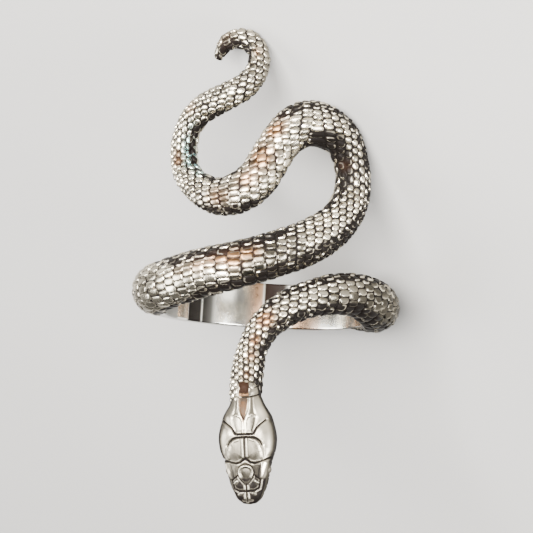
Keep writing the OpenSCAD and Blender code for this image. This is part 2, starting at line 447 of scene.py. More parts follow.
# Lines between the head's plates and ridges on them, as (strength, points), where ridges have
# negative strengths. A point is mm from the mid line and mm from the nape, and each line is
# repeated on the other side.
MID_LINE = -0.12
HEAD_SEAMS = (
    (0.8, ((0, 0.24), (0.5, 0.22), (1.05, 0.12), (1.3, 0))),
    (0.6, ((0.55, -1), (0.52, -0.6), (0.38, -0.22))),
    (0.7, ((0.55, -0.62), (0.9, -0.55), (1.3, -0.75))),
    (0.6, ((0.95, -1.2), (0.9, -0.55))),
    (0.6, ((0.38, -0.22), (0.2, -0.12), (0, -0.2))),
    (-1, ((0.55, 0.3), (0.5, 1.25), (0.33, 1.8), (0.08, 2.25), (0.05, 3))),
    (-0.8, ((0.95, 1.86), (0.6, 1.78), (0.28, 2), (0.1, 2.4))),
    (-0.7, ((0.1, 2.4), (0.1, 3.4))),
    (0.5, ((0, 2.1), (0, 3.45))),
    (0.45, ((0.78, 0.3), (0.85, 1.3), (1.05, 2.1), (0.95, 2.6), (0.72, 3.35))),
    (1.1, ((1.95, 2.25), (1.5, 2.6), (1.15, 2.9), (0.85, 3.4))),
    (1, ((0.05, 3.46), (0.7, 3.46))),
    (1, ((0, 3.68), (0.7, 3.7), (1.1, 3.82), (1.43, 4.08), (1.6, 4.4))),
    (0.25, ((1.6, 4.4), (1.72, 4.9), (1.75, 5.2), (1.6, 5.7))),
    (-0.6, ((0.5, 3.9), (1, 4.05), (1.3, 4.4), (1.48, 5), (1.45, 5.5))),
    (0.8, ((0, 3.7), (0, 5.6))),
    (-1, ((0.17, 3.85), (0.17, 5.4))),
    (1, ((0, 5.55), (0.3, 5.74), (0.5, 5.9), (0.9, 5.95), (1.35, 5.85), (1.75, 5.7), (2.2, 5.5))),
    (0.75, ((0, 6.02), (0.4, 6.1), (0.68, 6.35), (0.78, 6.8), (0.62, 7.25), (0.3, 7.6), (0, 7.8))),
    (-1, ((0.1, 6.2), (0.4, 6.28), (0.57, 6.5), (0.62, 6.8), (0.45, 7.2))),
    (0.8, ((0.74, 6.95), (0.9, 7.1), (1.3, 7.35))),
    (-1.1, ((0.8, 7.5), (1.05, 7.68))),
    (-0.8, ((0.5, 8.52), (0.75, 8.62))),
    (-1.2, ((1.78, 5.95), (1.55, 6.6), (1.35, 7.2))),
    (0.6, ((1.42, 6), (1.25, 6.6), (1.15, 7.2))),
    (0.8, ((0, 7.7), (0, 9.3))),
    (-0.9, ((0.14, 7.9), (0.14, 8.2))),
    (-1, ((0.14, 8.5), (0.16, 9))),
    (1, ((0, 8.36), (0.75, 8.32), (1.15, 8.1), (1.3, 7.4))),
    (0.6, ((0, 9.22), (0.5, 9.15))),
)
# Seams and ridges in mm: depth or height, and width. A weak seam counts as further away, by this
# much for each unit of strength under 1, and its surroundings are shaded over SEAM_SHADE.
SEAM_DEPTH = 0.1
SEAM_WIDTH = 0.07
SEAM_SHADE = 0.3
WEAK_SEAM = 0.25
RIDGE_HEIGHT = 0.1
RIDGE_WIDTH = 0.1
# A plate swells over its reach and has a rim beside its seams, down to these degrees.
PLATE_DOME = 0.14
PLATE_REACH = 0.4
RIM_AWAY = 0.13
RIM_WIDTH = 0.06
RIM_HEIGHT = 0.025
RIM_SHINE = 0.6
CROWN_END = (100, 84)

# Zones of the head's top by mm from the mid line, where they are even about it, and mm from the
# nape. Four limits open and close one softly, two are the middle and width of a bell.
NUCHAL = ((-2, -1, 0.42, 0.5), (-3, -2, 0.1, 0.2))
NUCHAL_CORE = ((-2, -1, 0.42, 0.5), (-3, -2, -0.2, -0.06))
PARIETAL = ((-2, -1, 1.2, 1.5), (3.6, 4, 5.4, 5.7))
BROW = ((0.7, 0.85, 1.35, 1.5), (5.8, 6.2, 7.1, 7.4))
FRONTAL = (6.75, 0.5)
SNOUT = (6.9, 7.4)
# The temple zone is a painted highlight.
TEMPLE = ((1.2, 0.45), (1.6, 0.8))
# A warm stripe behind the nuchal scale: its mid line, half width, how that tapers, and limits.
STRIPE_MID = -0.18
STRIPE_HALF = 0.35
STRIPE_TAPER = (2.8, 0.5)
STRIPE_EDGE = 0.06
STRIPE_BACK = (0.2, 0.4, 2.1, 2.6)
STRIPE_COPPER = 1.4
# Zones by the share of the half width, from -1 at the left edge to 1 at the right one.
# The flank zone is a painted highlight and the two edge zones painted shade; along the lip's edge a
# bright line is worn and painted as a highlight.
FLANK = (0.6, 0.17)
FLANK_BACK = (0.9, 1.6, 5.6, 6.6)
LEFT_EDGE = (-0.68, -0.95)
RIGHT_EDGE = (0.8, 0.95)
LIP_EDGE = (0.94, 0.045)
LIP_EDGE_BACK = (5.7, 6.4)
# Zones by how far the skin faces away from the finger.
# The flat top, facing away from the finger, takes painted shade; the skin below is worn bright.
FLAT = (0.86, 1)
BELOW = (-0.1, -0.5)
# What a zone does: share of its exposure to wear and painted light and of its wear that it takes,
# and tone that it adds. The flank and temple add a painted highlight, the two edges and the flat
# top painted shade.
HEAD_EFFECTS = {
    "snout": (0.88, 0, 0),
    "frontal": (0.5, 0, -1.2),
    "beside_seam": (0.6, 0, -0.8),
    "nuchal_core": (0, 0.93, -1.8),
    "stripe": (0, 0.58, -1),
    "brow": (0, 0.5, -1.2),
    "left_edge_shade": (0, 0.4, -1.2),
    "right_edge_shade": (0, 0.65, -2),
    "parietal": (0, 0, -0.7),
    "flank_highlight": (0, 0, 2.2),
    "temple_highlight": (0, 0, 1.6),
    "flat_shade": (0, 0, -1.8),
}
# Wear of hidden skin, of rims, of the lip's edge and below, and tone of the skin and its rims.
# The rims' tone is a painted highlight, and the lip's edge is worn and painted as a bright line.
HEAD_OXIDE_WEAR = 0.06
RIM_WEAR = 0.8
LIP_EDGE_WEAR_AND_HIGHLIGHT = 0.75
BELOW_WEAR = 0.8
HEAD_TONE = 0.1
RIM_HIGHLIGHT_TONE = 1.1
FLAT_RIM_HIGHLIGHT_TONE = 1.4

# Finish of each material: brightness of its silver, roughness where worn, unevenness of its
# tarnish, and strength of the cast pits, of the scratches and of the bump that they make.
FINISHES = {
    "oxidised_scales": {
        "value": 0.8, "polish": 0.2, "uneven": 0.9, "pits": 1, "scratches": 0, "bump": 0.35
    },
    "head_silver": {
        "value": 0.46, "polish": 0.27, "uneven": 0.7, "pits": 0.6, "scratches": 0, "bump": 0.25
    },
    "polished_band": {
        "value": 1.15, "polish": 0.1, "uneven": 0, "pits": 0.1, "scratches": 0.2, "bump": 0.04
    },
}
# Noises, in waves for each metre: cloud and speckle of the tarnish, pits and long scratches.
CLOUD_SCALE = 420
SPECKLE_SCALE = 2600
PIT_SCALE = 5200
SCRATCH_SCALE = (900, 12000, 9000)
NOISE_ROUGHNESS = 0.6
BUMP_DISTANCE = 0.00002
# Limits in the tarnish: of the field of wear and painted light, of it for the warm and cold
# tints, of the speckle that breaks these up, and of it for bare metal. Then how metallic the oxide
# is, how much it reflects, and its colour under copper.
WEAR_LIMITS = (0.12, 0.72)
TINT_LIMITS = (0.25, 0.75)
BREAK_LIMITS = (0.15, 0.4)
METAL_LIMITS = (0, 0.6)
OXIDE_METAL = 0.1
OXIDE_SPECULAR = 0.07
OXIDE_SPECULAR_TINT = (0.6, 0.6, 0.6, 1)
DARK_COPPER = (0.0125, 0.0058, 0.0032, 1)
# Swing of the noises, shade at tone 0, its change with tone and with copper, and the least one.
NOISE_SWING = 0.5
SHADE = 0.8
TONE_SHADE = 0.32
COPPER_SHADE = -0.4
LEAST_SHADE = 0.1
# Roughness added by the speckle, by the oxide and by copper.
SPECKLE_ROUGH = 0.12
OXIDE_ROUGH = 0.18
COPPER_ROUGH = 0.12

# The camera looks at the ring's face from a little to the head's side. Distances are mm in
# the ring's axes; the picture is square.
PICTURE = 533
CAMERA_DISTANCE = 220
PIXELS_PER_MM = 11.05
CAMERA_TILT = math.radians(-6)
CAMERA_ROLL = math.radians(3.4)
RING_ORIGIN_PIXEL = (266, 297)
SENSOR = 36
CLIP = (0.01, 10)
# Soft lamps: name, mm right, up and back from the ring as the camera sees it, width and height
# in metres, power in watts and colour.
LAMPS = (
    ("key", (-110, 60, 330), (0.3, 0.15), 12.5, (1, 0.975, 0.94)),
    ("side", (-330, -40, 40), (0.3, 0.2), 2.6, (1, 1, 1)),
    ("fill", (230, -100, 240), (0.14, 0.2), 2.6, (1, 1, 1)),
)
STUDIO_COLOUR = (0.5, 0.5, 0.52, 1)
STUDIO_STRENGTH = 0.26
# Pale floor: half its width in metres, its two colours, waves of its cloud and tooth for each
# metre, roughness, and strength and depth of the tooth.
FLOOR_HALF = 2
FLOOR_COLOURS = ((0.27, 0.265, 0.257, 1), (0.3, 0.295, 0.286, 1))
FLOOR_CLOUD = 14
FLOOR_TOOTH = 1500
FLOOR_ROUGHNESS = 0.85
TOOTH_STRENGTH = 0.1
TOOTH_DEPTH = 0.0001


def smoothstep(low, high, value):
    """Rises from 0 at low to 1 at high along 3t^2 - 2t^3."""
    t = np.clip((value - low) / (high - low), 0, 1)
    return t * t * (3 - 2 * t)


def window(value, opens, is_open, closes, is_closed):
    """Rises from 0 at the first limit to 1 at the second and falls from the third to the fourth."""
    return smoothstep(opens, is_open, value) * smoothstep(is_closed, closes, value)


def bell(distance, width):
    """exp(-(distance / width)^2)."""
    return np.exp(-((distance / width) ** 2))


def turn_about(axis, angle):
    """3 by 3 matrix that turns by angle about X, Y or Z."""
    return np.array(Matrix.Rotation(angle, 3, axis))


def to_rest(points):
    """Points in the ring's axes in mm become points where the ring lies, in metres:
    yaw * tip * roll * point + shift."""
    turned = turn_about("Z", REST_YAW) @ turn_about("X", REST_TIP) @ turn_about("Y", REST_ROLL)
    return (points @ turned.T + np.array(REST_SHIFT)) * MM


def rows_at(table, place):
    """Rows at fractional places of a table, on the uniform Catmull-Rom curve
    0.5 (2b + (c-a)t + (2a-5b+4c-d)t^2 + (3b-a-3c+d)t^3) through rows a, b, c, d."""
    table = np.asarray(table, float)
    last = len(table) - 1
    first = np.clip(np.floor(place).astype(int), 0, last - 1)
    a, b, c, d = (table[np.clip(first + k, 0, last)] for k in (-1, 0, 1, 2))
    t = (place - first)[:, None]
    return 0.5 * (
        2 * b
        + (c - a) * t
        + (2 * a - 5 * b + 4 * c - d) * t**2
        + (3 * b - a - 3 * c + d) * t**3
    )


def finger_radius():
    """Radius of the finger in mm."""
    return bpy.context.scene.snake_ring.finger_diameter / MM / 2


def centres(rows):
    """Centre of the body: radius = finger + lift * width / 2, turned about Y from the face."""
    turn = np.radians(rows[:, TURN])
    radius = finger_radius() + rows[:, LIFT] * rows[:, WIDTH] / 2
    return np.stack((radius * np.sin(turn), rows[:, ALONG], radius * np.cos(turn)), axis=1)


def unit(vectors):
    """The vectors over their lengths."""
    return vectors / np.linalg.norm(vectors, axis=-1, keepdims=True)


def path_lengths(path):
    """Fractional places of a path table and the distance along the body at each."""
    places = np.linspace(0, len(path) - 1, (len(path) - 1) * PATH_SAMPLES + 1)
    steps = np.linalg.norm(np.diff(centres(rows_at(path, places)), axis=0), axis=1)
    return places, np.concatenate(([0], np.cumsum(steps)))


def smoothed(rows, spacing):
    """Rows averaged along the body with a bell of weights exp(-(d / width)^2), less near the
    ends, so that the tight bends come out round."""
    reach = int(BELL_REACH * SMOOTHING / spacing)
    weights = bell(np.arange(-reach, reach + 1) * spacing, SMOOTHING)
    padded = np.pad(rows, ((reach, reach), (0, 0)), mode="edge")
    columns = [np.convolve(column, weights / weights.sum(), "valid") for column in padded.T]
    from_end = np.minimum(np.arange(len(rows)), np.arange(len(rows))[::-1]) * spacing
    share = smoothstep(0, END_FADE * SMOOTHING, from_end)[:, None]
    return rows + (np.stack(columns, axis=1) - rows) * share


def skeleton(path, distance):
    """Places, rows, centres, tangents, up and side directions at even distances along a path.
    Up is the radial direction made square to the tangent, side is up x tangent."""
    places, lengths = path_lengths(path)
    place = np.clip(np.interp(distance, lengths, places), NUDGE, len(path) - 1 - NUDGE)
    rows = smoothed(rows_at(path, place), distance[1])
    tangent = unit(np.gradient(centres(rows), axis=0))
    turn = np.radians(rows[:, TURN])
    radial = np.stack((np.sin(turn), 0 * turn, np.cos(turn)), axis=1)
    up = unit(radial - (radial * tangent).sum(axis=1, keepdims=True) * tangent)
    return place, rows, centres(rows), tangent, up, np.cross(up, tangent)


def running_sum(values, spacing):
    """Integral of a column of evenly spaced values from the first one on."""
    steps = (values[1:] + values[:-1]) / 2 * spacing
    return np.concatenate((np.zeros((1, 1)), np.cumsum(steps, axis=0)))


def cell_value(i, j, kind):
    """Repeatable value from -1 to 1 for scale j of course i: the fraction of a large sine."""
    across, up, use = VALUE_PHASES
    value = np.sin(i * across + j * up + kind * use) * VALUE_SINE
    return 2 * (value - np.floor(value)) - 1


def crescent(dx, dy, f, faces, reach):
    """Part of a scale that lies its own way from the middle: a smooth step of the share of
    (dx, dy) / f along the direction at an angle from straight down."""
    return smoothstep(*reach, (dx * np.sin(faces) - dy * np.cos(faces)) / np.maximum(f, LIP_CLEAR))


def scale_heights(x, y, squareness, groove, look):
    """Height from 0 in the grooves to 1 on the crowns, a tone for each scale, into which painted
    shade darkens its upper end and lightens its lower one, and a mask of its lip, rubbed and painted
    with a glint, over the pattern's coordinates x across the stacks and y up them. Odd stacks are
    offset by half a scale. A scale is the superellipse f = (|2dx|^n + |2dy|^n)^(1/n) < 1,
    rounder at its lower end, with a domed crown that rises to that end, and the highest of
    three stacks wins. The lip is the larger of two crescents near the edge: one faces down,
    give or take LIP_SPREAD degrees, and a weaker one faces any way."""
    height = np.zeros_like(x)
    tone = np.zeros_like(x)
    lip = np.zeros_like(x)
    upper, lower = (2 + share * (squareness - 2) for share in END_SQUARENESS)
    for stack in (-1, 0, 1):
        i = np.round(x) + stack
        offset = 0.5 * np.mod(i, 2)
        j = np.round(y - offset)
        dx = 2 * (x - i) - look.unevenness * cell_value(i, j, SHIFT_X)
        dy = 2 * (y - j - offset) - look.unevenness * cell_value(i, j, SHIFT_Y)
        size = 1 + SIZE_SPREAD * look.unevenness * cell_value(i, j, SIZE)
        n = np.where(dy < 0, lower, upper)
        f = (np.abs(dx / size / STACK_FILL) ** n + np.abs(dy / size) ** n) ** (1 / n)
        rise = smoothstep(SCALE_EDGE, SCALE_EDGE - groove, f)
        slope = cell_value(i, j, TILT_X) * dx + cell_value(i, j, TILT_Y) * dy
        slope = look.tilt * slope - look.lean * dy
        level = CROWN_LEVEL + CROWN_SPREAD * cell_value(i, j, LEVEL)
        crown = rise * (level - look.dome * f * f + slope)
        wins = crown > height
        # The tone falls toward the scale's upper end as painted shade.
        tone = np.where(wins, cell_value(i, j, TONE) - PAINTED_SHADE_ACROSS * dy, tone)
        faces = math.radians(LIP_SPREAD) * cell_value(i, j, TURN_LOWER)
        share = LIP_SHARE + LIP_SHARE_SPREAD * cell_value(i, j, SHARE_LOWER)
        lower_lip = crescent(dx, dy, f, faces, LOWER_LIP_REACH) * share
        faces = math.pi * cell_value(i, j, TURN_SIDE)
        share = SIDE_LIP_WEAR_AND_GLINT * cell_value(i, j, SHARE_SIDE)
        side_lip = crescent(dx, dy, f, faces, SIDE_LIP_REACH) * share
        lip = np.where(wins, window(f, *LIP_BAND) * np.maximum(lower_lip, side_lip), lip)
        height = np.maximum(height, crown)
    return np.clip(height, 0, 1), tone, np.clip(lip, 0, 1)


def patch_mask(path, patches, distance, angle, radius):
    """Sum of bells exp(-(d / r)^2) round the given places of the body, d measured on its skin."""
    places, lengths = path_lengths(path)
    mask = np.zeros_like(angle)
    for place, degrees, reach, strength in patches:
        along = distance[:, None] - np.interp(place, places, lengths)
        round_body = (angle - math.radians(degrees)) * radius[:, None]
        mask += strength * bell(np.hypot(along, round_body), reach)
    return np.clip(mask, 0, 1)


def wear_and_light_exposure(outward):
    """How much a surface is rubbed and painted as lit, from 0 to 1, with painted shade where it
    turns away: a smooth step of its direction along the rubbed and lit side, times a falling one
    of its direction along the finger."""
    facing = outward @ unit(np.array(WORN_AND_LIT_SIDE))
    along = np.abs(outward[..., 1] + ALONG_OFFSET)
    return smoothstep(*FACING_RANGE, facing) * smoothstep(*ALONG_RANGE, along)


def around_angles(half_scale):
    """Angles round the body at each ring: even steps over the scales, wider ones over the belly."""
    over_scales = np.linspace(-1, 1, HALF_SCALES * POINTS_PER_SCALE + 1)
    edge = HALF_SCALES * half_scale[:, None]
    belly = np.arange(1, BELLY_POINTS + 1) / (BELLY_POINTS + 1)
    return np.concatenate((edge * over_scales, edge + (2 * math.pi - 2 * edge) * belly), axis=1)


def clear_of_finger(points, gap):
    """Points nearer the finger's axis than its radius plus the gap move straight out to there."""
    radius = np.hypot(points[..., 0], points[..., 2])
    wanted = finger_radius() + gap
    push = np.maximum(1, wanted / np.maximum(radius, MM))
    out = points.copy()
    out[..., 0] *= push
    out[..., 2] *= push
    return out, push > 1


def worn_and_lit_zone(wear_and_light_table, place, degrees):
    """1 between the two angles of a table of rubbing and painted light at each ring and 0 beyond,
    over a soft edge, and the painted light there."""
    limits = [
        np.interp(place, [row[ROW] for row in wear_and_light_table], [row[side] for row in wear_and_light_table])
        for side in (WORN_AND_LIT_FROM, WORN_AND_LIT_TO, PAINTED_LIGHT)
    ]
    above = smoothstep(-WORN_AND_LIT_EDGE, WORN_AND_LIT_EDGE, degrees - limits[0][:, None])
    below = smoothstep(-WORN_AND_LIT_EDGE, WORN_AND_LIT_EDGE, limits[1][:, None] - degrees)
    return above * below, limits[2][:, None]


def pattern_grid(pattern, spacing, radius, signed):
    """The pattern's coordinates over a body. With t the pattern's turn and q the way round,
    radius (0.7 a + 0.3 sin a), they are x = integral cos t / across ds - q sin t / across and
    y = integral sin t / down ds + q cos t / down."""
    turn = np.radians(pattern[:, PATTERN, None])
    across = pattern[:, ACROSS, None]
    down = pattern[:, DOWN, None]
    round_off = PATTERN_FLATNESS * (np.sin(signed) - signed)
    way_round = radius[:, None] * (signed + round_off)
    x = running_sum(np.cos(turn) / across, spacing) - way_round * np.sin(turn) / across
    y = running_sum(np.sin(turn) / down, spacing) + way_round * np.cos(turn) / down
    return x, y


def body_wear_and_light(exposure_and_light, painted_light, height, tone, lip, from_crown):
    """Rubbing and tone of a body's scales, both with painted light and shade, and the rubbing of its
    side toward the finger. Crowns are bright where they are rubbed and painted as lit, and lips
    beyond with rubbing and a painted glint, none of it down in the grooves. A row's painted light
    darkens or lightens the tone."""
    worn_and_lit = exposure_and_light + np.maximum(OXIDE_WEAR, LIP_WEAR_AND_GLINT * lip) * (1 - exposure_and_light)
    worn_and_lit = worn_and_lit * smoothstep(*WORN_AND_LIT_HEIGHTS, height)
    bore = BORE_WEAR * smoothstep(*BORE_ANGLES, from_crown)
    # A row's painted light darkens or lightens the tone as painted shade or light, except on the
    # lips.
    tone = tone * np.clip(painted_light, LEAST_TONE, 1) + PAINTED_LIGHT_TONE * (painted_light - 1) * (1 - lip)
    return np.maximum(worn_and_lit, bore), tone + bore, bore


def body_surface(path, scale_table, wear_and_light_table, copper, blue):
    """Skin of a scaled body. Ring i lies at distance s, point j at angle a, and the point is
    centre(s) + r (cos a up + sin a side) with r = width / 2 - depth (1 - height(x, y))."""
    look = bpy.context.scene.snake_ring
    total = path_lengths(path)[1][-1]
    distance = np.linspace(0, total, int(total * POINTS_PER_SCALE / SCALE_PITCH) + 1)
    place, rows, centre, tangent, up, side = skeleton(path, distance)
    pattern = smooth_columns(scale_table, ROW, place)
    radius = rows[:, WIDTH] / 2
    half_scale = np.radians(np.interp(rows[:, WIDTH], HALF_SCALE_WIDTHS, HALF_SCALE_ANGLES))
    angle = around_angles(half_scale)
    signed = np.where(angle > math.pi, angle - 2 * math.pi, angle)
    degrees = np.degrees(signed)
    x, y = pattern_grid(pattern, distance[1], radius, signed)
    squareness = pattern[:, SQUARENESS, None]
    height, tone, lip = scale_heights(x, y, squareness, pattern[:, GROOVE, None], look)
    past_last = np.abs(signed) / half_scale[:, None] - HALF_SCALES
    height = height + (BELLY_HEIGHT - height) * smoothstep(*BELLY_EDGE, past_last)
    depth = look.scale_depth / MM * np.minimum(1, rows[:, WIDTH] / FULL_DEPTH_WIDTH)
    r = radius[:, None] - depth[:, None] * (1 - height)
    across = (r * np.sin(angle))[..., None] * side[:, None]
    points = centre[:, None] + (r * np.cos(angle))[..., None] * up[:, None] + across
    points, cut = clear_of_finger(points, BODY_GAP)
    zone = worn_and_lit_zone(wear_and_light_table, place, degrees)
    worn_and_lit, tone, bore = body_wear_and_light(*zone, height, tone, lip, np.abs(degrees))
    fields = {
        "worn_and_lit": np.where(cut, bore, worn_and_lit),
        "tone": tone,
        "copper": patch_mask(path, copper, distance, signed, radius),
        "blue": patch_mask(path, blue, distance, signed, radius),
    }
    return points, fields, centre, tangent


def tube_faces(rings, around):
    """Quads of a tube of rings by around points, then a fan of triangles at either end, whose
    tips are the last two vertices."""
    i, j = np.meshgrid(np.arange(rings - 1), np.arange(around), indexing="ij")
    k = (j + 1) % around
    quads = np.stack(
        (i * around + j, (i + 1) * around + j, (i + 1) * around + k, i * around + k), axis=-1
    )
    j = np.arange(around)
    k = (j + 1) % around
    tip = rings * around
    last = (rings - 1) * around
    first_fan = np.stack((np.full(around, tip), j, k), axis=-1)
    last_fan = np.stack((np.full(around, tip + 1), last + k, last + j), axis=-1)
    return quads.reshape(-1, 4), np.concatenate((first_fan, last_fan))


def add_object(name, data):
    """Object of the given data in the scene."""
    item = bpy.data.objects.new(name, data)
    bpy.context.collection.objects.link(item)
    return item


def add_mesh(name, points, quads, triangles, fields, material):
    """Object made of the given faces, each point in the ring's axes, smooth shaded, with its
    fields as point attributes. It is turned right side out if its volume comes out negative."""
    rest = to_rest(points)
    fans = np.concatenate((quads[:, [0, 1, 2]], quads[:, [0, 2, 3]], triangles))
    a, b, c = (rest[fans[:, k]] for k in range(3))
    if (a * np.cross(b, c)).sum() < 0:
        quads = quads[:, ::-1]
        triangles = triangles[:, ::-1]
    mesh = bpy.data.meshes.new(name)
    mesh.from_pydata(rest, (), quads.tolist() + triangles.tolist())
    mesh.shade_smooth()
    for field, values in fields.items():
        attribute = mesh.attributes.new(field, "FLOAT", "POINT")
        attribute.data.foreach_set("value", values.astype(np.float32).ravel())
    if mesh.validate():
        raise RuntimeError(f"{name} has faces that are not valid")
    mesh.materials.append(material)
    piece = add_object(name, mesh)
    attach(piece, BODY)
    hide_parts(RING_NODE)
    return piece


def add_tube(name, points, first_tip, last_tip, fields, material):
    """Tube through a grid of points, closed with a cone to a tip at either end."""
    rings, around = points.shape[:2]
    quads, triangles = tube_faces(rings, around)
    every = np.concatenate((points.reshape(-1, 3), [first_tip], [last_tip]))
    filled = {
        key: np.concatenate((grid.ravel(), [grid[0].mean(), grid[-1].mean()]))
        for key, grid in fields.items()
    }
    return add_mesh(name, every, quads, triangles, filled, material)


def tucked(ring, centre, push):
    """A ring drawn in toward its centre and moved along the body, to hide under its neighbour."""
    return centre + (ring - centre) * TUCK_SIZE + push


def add_body(name, path, tables, parts, material):
    """Scaled body in a number of equal parts. A part's inner end is tucked under the next."""
    points, fields, centre, tangent = body_surface(path, *tables)
    step = tangent * TUCK_STEP
    last = len(points) - 1
    bounds = np.linspace(0, last, parts + 1).astype(int)
    for part in range(parts):
        low, high = bounds[part : part + 2]
        rings = np.pad(np.arange(low, high + 1), (int(low > 0), int(high < last)), mode="edge")
        own = points[rings]
        own_fields = {key: grid[rings] for key, grid in fields.items()}
        if low > 0:
            own[0] = tucked(own[0], centre[low], -step[low])
        if high < last:
            own[-1] = tucked(own[-1], centre[high], step[high])
        tips = (centre[low] - TIP_STEPS * step[low], centre[high] + TIP_STEPS * step[high])
        tips, _ = clear_of_finger(np.stack(tips), TIP_GAP)
        add_tube(f"{name}_{part + 1}", own, *tips, own_fields, material)


def smooth_columns(table, key, at):
    """Every column of a table at values of its key column, as cubic Hermite curves whose slopes
    are the table's own differences."""
    table = np.asarray(table, float)
    keys = table[:, key]
    slopes = np.gradient(table, keys, axis=0)
    i = np.clip(np.searchsorted(keys, at, side="right") - 1, 0, len(keys) - 2)
    gap = (keys[i + 1] - keys[i])[:, None]
    t = (at[:, None] - keys[i][:, None]) / gap
    return (
        (1 + 2 * t) * (1 - t) ** 2 * table[i]
        + t * (1 - t) ** 2 * gap * slopes[i]
        + t**2 * (3 - 2 * t) * table[i + 1]
        + t**2 * (t - 1) * gap * slopes[i + 1]
    )


def distance_to_line(x, y, points):
    """Distance from each (x, y) to a broken line through the points."""
    nearest = np.full_like(x, np.inf)
    for (ax, ay), (bx, by) in zip(points[:-1], points[1:]):
        dx, dy = bx - ax, by - ay
        t = np.clip(((x - ax) * dx + (y - ay) * dy) / (dx * dx + dy * dy), 0, 1)
        nearest = np.minimum(nearest, np.hypot(x - ax - t * dx, y - ay - t * dy))
    return nearest


def head_relief(x, back, degrees):
    """Relief of the head's skin, how deep in a seam it lies, how high on a rim, and the shade
    beside the seams. Plates swell with distance from their nearest seam as 1 - exp(-d / reach),
    seams, ridges and rims are bells across their lines."""
    off_mid = np.abs(x - MID_LINE)
    over_crown = smoothstep(*CROWN_END, degrees)
    nearest = np.full_like(x, np.inf)
    seam = np.zeros_like(x)
    ridge = np.zeros_like(x)
    for strength, points in HEAD_SEAMS:
        gap = distance_to_line(off_mid, back, points)
        if strength > 0:
            nearest = np.minimum(nearest, gap + WEAK_SEAM * (1 - strength))
            seam = np.maximum(seam, strength * bell(gap, SEAM_WIDTH))
        else:
            ridge = np.maximum(ridge, -strength * bell(gap, RIDGE_WIDTH))
    swell = (1 - np.exp(-nearest / PLATE_REACH)) * over_crown
    rim = bell(nearest - RIM_AWAY, RIM_WIDTH) * over_crown
    relief = PLATE_DOME * (swell - 1)
    relief = relief + (RIDGE_HEIGHT * ridge + RIM_HEIGHT * rim - SEAM_DEPTH * seam) * over_crown
    bright = np.clip(np.maximum(ridge, RIM_SHINE * rim) * over_crown, 0, 1)
    return relief, seam * over_crown, bright, bell(nearest, SEAM_SHADE) * over_crown


def to_pair(x, back, z, place):
    """Distance to the nearer of two places that mirror each other across the head."""
    return np.sqrt((np.abs(x) - place[0]) ** 2 + (back - place[1]) ** 2 + (z - place[2]) ** 2)


def head_grooves(x, back, z, degrees):
    """Depth and darkness of the mouth, the lip's seams, the eye sockets and the nostrils, each a
    bell of the distance to it."""
    to_seam = [np.abs(back - place - LIP_SLANT * (degrees - 90)) for place in LIP_SEAMS]
    to_socket = to_pair(x, back, z, EYE) - EYE_DIAMETER / 2 - SOCKET_GAP
    depth = 0
    dark = 0
    for groove, distance, limit in (
        (MOUTH, degrees - MOUTH_ANGLE, smoothstep(*MOUTH_START, back)),
        (LIP_SEAM, np.min(to_seam, axis=0), window(degrees, *LIP_LIMITS)),
        (SOCKET, to_socket, 1),
        (PIT, to_pair(x, back, z, NOSTRIL), 1),
    ):
        mask = bell(distance, groove[GROOVE_WIDTH]) * limit
        depth = depth + groove[GROOVE_DEPTH] * mask
        dark = dark + groove[GROOVE_DARK] * mask
    return depth, dark


def head_zones(x, back, aside, faces_out, shade):
    """Masks of the head's zones, each from 0 to 1."""
    from_mid = np.abs(x - MID_LINE)
    half = STRIPE_HALF * smoothstep(*STRIPE_TAPER, back)
    stripe = smoothstep(half + STRIPE_EDGE, half, np.abs(x - STRIPE_MID))
    nuchal, nuchal_core, parietal, brow = (
        window(from_mid, *across) * window(back, *along)
        for across, along in (NUCHAL, NUCHAL_CORE, PARIETAL, BROW)
    )
    return {
        "snout": smoothstep(*SNOUT, back),
        "frontal": bell(np.hypot(from_mid, back - FRONTAL[0]), FRONTAL[1]),
        "beside_seam": shade,
        "nuchal": nuchal,
        "nuchal_core": nuchal_core,
        "stripe": stripe * window(back, *STRIPE_BACK),
        "brow": brow,
        "left_edge_shade": smoothstep(*LEFT_EDGE, aside),
        "right_edge_shade": smoothstep(*RIGHT_EDGE, aside),
        "parietal": parietal,
        "flank_highlight": bell(aside - FLANK[0], FLANK[1]) * window(back, *FLANK_BACK),
        "temple_highlight": bell(x - TEMPLE[0][0], TEMPLE[0][1]) * bell(back - TEMPLE[1][0], TEMPLE[1][1]),
        "flat_shade": smoothstep(*FLAT, faces_out),
    }


